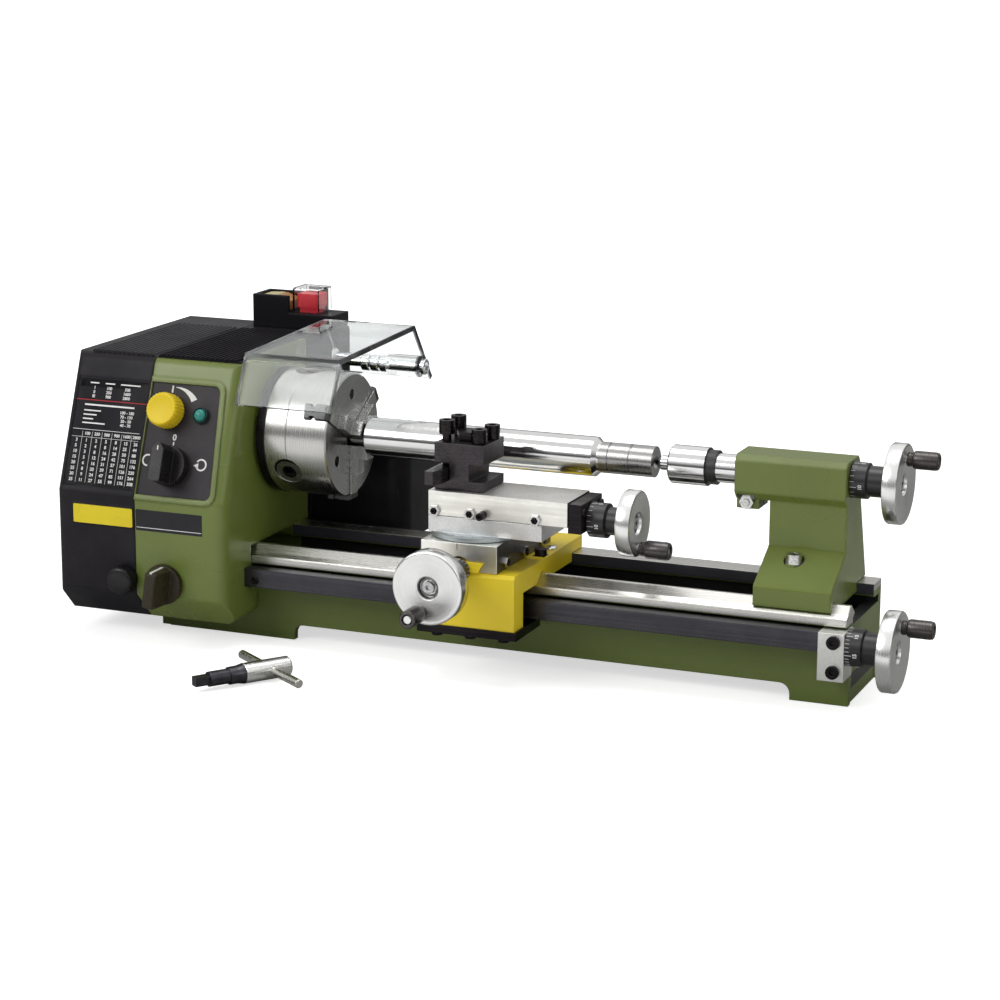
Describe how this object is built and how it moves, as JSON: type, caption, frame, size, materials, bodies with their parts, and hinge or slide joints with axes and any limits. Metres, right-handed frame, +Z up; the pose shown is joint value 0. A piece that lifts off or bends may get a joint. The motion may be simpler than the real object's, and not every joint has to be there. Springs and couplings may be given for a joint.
{
  "type": "precision lathe",
  "caption": "Small bench lathe with belt-driven spindle, three-jaw scroll chuck, leadscrew-driven saddle, cross slide, swivelling top slide, tool post and tailstock with live centre.",
  "frame": {"origin": "on the ground, under the left end of the bed and below the spindle axis", "axes": "+X along the spindle towards the tailstock, +Y away from the operator, +Z up"},
  "size_m": [0.5319, 0.2529, 0.196],
  "materials": {
    "green_paint": "semi-gloss lacquer",
    "black_plastic": "fine texture",
    "black_knob": "satin",
    "yellow_knob": "satin",
    "lamp_green": "glossy lens",
    "red_button": "satin",
    "clear_plastic": "clear acrylic",
    "ground_steel": "ground",
    "bright_steel": "polished",
    "black_steel": "black oxide",
    "yellow_paint": "semi-gloss lacquer",
    "brass": "turned",
    "light_alloy": "machined",
    "belt_rubber": "matt",
    "black_rod": "black lacquer"
  },
  "bodies": {
    "base": {"bed": "green_paint", "headstock": "green_paint", "top_cover": "black_plastic", "rear_cover": "black_plastic", "control_panel": "black_plastic", "pilot_lamp": "lamp_green", "switch_box": "black_plastic", "guard_rod": "bright_steel", "spindle_bearings": "bright_steel", "motor": "black_steel", "drive_belt": "belt_rubber", "leadscrew_cover": "black_rod", "bearing_block": "light_alloy"},
    "end_cover_body": {"end_cover": "black_plastic"},
    "cover_screw_body": {"cover_screw": "black_knob"},
    "spindle_body": {"spindle": "ground_steel", "spindle_pulley": "light_alloy", "backplate": "black_steel", "chuck_body": "ground_steel", "workpiece": "bright_steel"},
    "motor_pulley_body": {"motor_pulley": "light_alloy"},
    "idler_body": {"idler_gear": "brass"},
    "scroll_body": {"scroll": "ground_steel"},
    "jaw_1_body": {"jaw_1": "ground_steel"},
    "jaw_2_body": {"jaw_2": "ground_steel"},
    "jaw_3_body": {"jaw_3": "ground_steel"},
    "pinion_1_body": {"pinion_1": "black_steel"},
    "pinion_2_body": {"pinion_2": "black_steel"},
    "pinion_3_body": {"pinion_3": "black_steel"},
    "speed_knob_body": {"speed_knob": "yellow_knob"},
    "direction_switch_body": {"direction_switch": "black_knob"},
    "feed_knob_body": {"feed_knob": "black_knob"},
    "stop_button_body": {"stop_button": "red_button"},
    "switch_flap_body": {"switch_flap": "clear_plastic"},
    "guard_body": {"chuck_guard": "clear_plastic"},
    "leadscrew_body": {"leadscrew": "ground_steel", "lead_wheel": "bright_steel"},
    "lead_grip_body": {"lead_grip": "black_knob"},
    "saddle_body": {"saddle": "yellow_paint", "clamp_plate": "black_steel"},
    "cross_screw_body": {"cross_screw": "ground_steel", "cross_wheel": "bright_steel"},
    "cross_grip_body": {"cross_grip": "black_knob"},
    "cross_slide_body": {"cross_slide": "ground_steel"},
    "swivel_body": {"swivel_base": "ground_steel"},
    "top_slide_body": {"top_slide": "ground_steel"},
    "top_screw_body": {"top_screw": "ground_steel", "top_wheel": "bright_steel"},
    "top_grip_body": {"top_grip": "black_knob"},
    "tool_post_body": {"tool_post": "black_steel", "post_screws": "black_steel", "tool_bit": "ground_steel"},
    "tailstock_body": {"tailstock": "green_paint"},
    "quill_body": {"quill": "bright_steel"},
    "live_centre_body": {"live_centre": "bright_steel"},
    "tail_screw_body": {"tail_screw": "ground_steel", "tail_wheel": "bright_steel"},
    "tail_grip_body": {"tail_grip": "black_knob"},
    "key_body": {"chuck_key": "ground_steel"},
    "key_bar_body": {"key_bar": "bright_steel"}
  },
  "joints": [
    {"name": "end_cover_pull", "type": "slide", "parent": "base", "child": "end_cover_body", "axis": [-1, 0, 0], "range_m": [0, 0.06]},
    {"name": "cover_screw_turn", "type": "hinge", "parent": "end_cover_body", "child": "cover_screw_body", "pos_m": [-0.006, -0.08, 0.0395], "axis": [0, -1, 0], "continuous": true},
    {"name": "spindle_spin", "type": "hinge", "parent": "base", "child": "spindle_body", "pos_m": [0, 0, 0.1226], "axis": [1, 0, 0], "continuous": true},
    {"name": "motor_spin", "type": "hinge", "parent": "base", "child": "motor_pulley_body", "pos_m": [-0.02, 0.066, 0.078], "axis": [1, 0, 0], "continuous": true},
    {"name": "idler_spin", "type": "hinge", "parent": "base", "child": "idler_body", "pos_m": [-0.0085, -0.01317, 0.07957], "axis": [1, 0, 0], "continuous": true},
    {"name": "scroll_turn", "type": "hinge", "parent": "spindle_body", "child": "scroll_body", "pos_m": [0.09, 0, 0.1226], "axis": [1, 0, 0], "range_deg": [-630, 0]},
    {"name": "jaw_1_slide", "type": "slide", "parent": "spindle_body", "child": "jaw_1_body", "axis": [0, -0.866, 0.5], "range_m": [0, 0.007]},
    {"name": "jaw_2_slide", "type": "slide", "parent": "spindle_body", "child": "jaw_2_body", "axis": [0, 0.866, 0.5], "range_m": [0, 0.007]},
    {"name": "jaw_3_slide", "type": "slide", "parent": "spindle_body", "child": "jaw_3_body", "axis": [0, 0, -1], "range_m": [0, 0.007]},
    {"name": "pinion_1_turn", "type": "hinge", "parent": "spindle_body", "child": "pinion_1_body", "pos_m": [0.082, -0.02598, 0.1076], "axis": [0, -0.866, -0.5], "continuous": true},
    {"name": "pinion_2_turn", "type": "hinge", "parent": "spindle_body", "child": "pinion_2_body", "pos_m": [0.082, 0, 0.1526], "axis": [0, 0, 1], "continuous": true},
    {"name": "pinion_3_turn", "type": "hinge", "parent": "spindle_body", "child": "pinion_3_body", "pos_m": [0.082, 0.02598, 0.1076], "axis": [0, 0.866, -0.5], "continuous": true},
    {"name": "speed_knob_turn", "type": "hinge", "parent": "base", "child": "speed_knob_body", "pos_m": [0.016, -0.05743, 0.13971], "axis": [0, -0.9356, 0.3531], "range_deg": [-270, 0]},
    {"name": "direction_turn", "type": "hinge", "parent": "base", "child": "direction_switch_body", "pos_m": [0.0225, -0.06897, 0.10912], "axis": [0, -0.9356, 0.3531], "range_deg": [-60, 60]},
    {"name": "feed_knob_turn", "type": "hinge", "parent": "base", "child": "feed_knob_body", "pos_m": [0.0207, -0.08, 0.0388], "axis": [0, -1, 0], "range_deg": [-45, 45]},
    {"name": "stop_press", "type": "slide", "parent": "base", "child": "stop_button_body", "axis": [0, 0, -1], "range_m": [0, 0.003], "stiffness_N_per_m": 400},
    {"name": "flap_lift", "type": "hinge", "parent": "base", "child": "switch_flap_body", "pos_m": [0.04, 0.0972, 0.195], "axis": [-1, 0, 0], "range_deg": [0, 90]},
    {"name": "guard_lift", "type": "hinge", "parent": "base", "child": "guard_body", "pos_m": [0.09, 0.0685, 0.154], "axis": [-1, 0, 0], "range_deg": [0, 100]},
    {"name": "leadscrew_turn", "type": "hinge", "parent": "base", "child": "leadscrew_body", "pos_m": [0.2, -0.042, 0.0375], "axis": [1, 0, 0], "range_deg": [-30000.1, 13920.1]},
    {"name": "lead_grip_spin", "type": "hinge", "parent": "leadscrew_body", "child": "lead_grip_body", "pos_m": [0.47, -0.042, 0.0519], "axis": [1, 0, 0], "continuous": true},
    {"name": "saddle_travel", "type": "slide", "parent": "base", "child": "saddle_body", "axis": [1, 0, 0], "range_m": [-0.058, 0.125]},
    {"name": "cross_screw_turn", "type": "hinge", "parent": "saddle_body", "child": "cross_screw_body", "pos_m": [0.2109, -0.09, 0.0665], "axis": [0, 1, 0], "range_deg": [-3960, 10800]},
    {"name": "cross_grip_spin", "type": "hinge", "parent": "cross_screw_body", "child": "cross_grip_body", "pos_m": [0.20693, -0.13, 0.05266], "axis": [0, 1, 0], "continuous": true},
    {"name": "cross_travel", "type": "slide", "parent": "saddle_body", "child": "cross_slide_body", "axis": [0, 1, 0], "range_m": [-0.03, 0.011]},
    {"name": "swivel_turn", "type": "hinge", "parent": "cross_slide_body", "child": "swivel_body", "pos_m": [0.2109, -0.046, 0.085], "axis": [0, 0, 1], "range_deg": [-35, 0]},
    {"name": "top_screw_turn", "type": "hinge", "parent": "top_slide_body", "child": "top_screw_body", "pos_m": [0.25, -0.0462, 0.09675], "axis": [1, 0, 0], "range_deg": [-5400, 10800]},
    {"name": "top_grip_spin", "type": "hinge", "parent": "top_screw_body", "child": "top_grip_body", "pos_m": [0.32, -0.0462, 0.08235], "axis": [1, 0, 0], "continuous": true},
    {"name": "top_travel", "type": "slide", "parent": "swivel_body", "child": "top_slide_body", "axis": [1, 0, 0], "range_m": [-0.015, 0.03]},
    {"name": "tool_post_turn", "type": "hinge", "parent": "top_slide_body", "child": "tool_post_body", "pos_m": [0.2045, -0.044, 0.12], "axis": [0, 0, 1], "range_deg": [-90, 90]},
    {"name": "tailstock_travel", "type": "slide", "parent": "base", "child": "tailstock_body", "axis": [1, 0, 0], "range_m": [0, 0.0085]},
    {"name": "tail_screw_turn", "type": "hinge", "parent": "tailstock_body", "child": "tail_screw_body", "pos_m": [0.43, 0, 0.1226], "axis": [1, 0, 0], "range_deg": [-4680, 0]},
    {"name": "tail_grip_spin", "type": "hinge", "parent": "tail_screw_body", "child": "tail_grip_body", "pos_m": [0.46, 0, 0.137], "axis": [1, 0, 0], "continuous": true},
    {"name": "quill_travel", "type": "slide", "parent": "tailstock_body", "child": "quill_body", "axis": [1, 0, 0], "range_m": [0, 0.013]},
    {"name": "live_centre_spin", "type": "hinge", "parent": "quill_body", "child": "live_centre_body", "pos_m": [0.3131, 0, 0.1226], "axis": [1, 0, 0], "continuous": true},
    {"name": "key_lift", "type": "slide", "parent": "base", "child": "key_body", "axis": [0, 0, 1], "range_m": [0, 0.04]},
    {"name": "key_bar_slide", "type": "slide", "parent": "key_body", "child": "key_bar_body", "axis": [-0.8161, 0.5779, 0], "range_m": [-0.02, 0.02]}
  ],
  "couplings": [
    {"joint": "motor_spin", "follows": "spindle_spin", "ratio": 1.7692},
    {"joint": "idler_spin", "follows": "spindle_spin", "ratio": -0.42857},
    {"joint": "live_centre_spin", "follows": "spindle_spin", "ratio": 1},
    {"joint": "leadscrew_turn", "follows": "saddle_travel", "rad_per_m": -4188.8},
    {"joint": "cross_screw_turn", "follows": "cross_travel", "rad_per_m": -6283.2},
    {"joint": "top_screw_turn", "follows": "top_travel", "rad_per_m": 6283.2},
    {"joint": "tail_screw_turn", "follows": "quill_travel", "rad_per_m": -6283.2},
    {"joint": "jaw_1_slide", "follows": "scroll_turn", "m_per_rad": -0.00063662},
    {"joint": "pinion_1_turn", "follows": "scroll_turn", "ratio": 5},
    {"joint": "jaw_2_slide", "follows": "scroll_turn", "m_per_rad": -0.00063662},
    {"joint": "pinion_2_turn", "follows": "scroll_turn", "ratio": 5},
    {"joint": "jaw_3_slide", "follows": "scroll_turn", "m_per_rad": -0.00063662},
    {"joint": "pinion_3_turn", "follows": "scroll_turn", "ratio": 5}
  ]
}
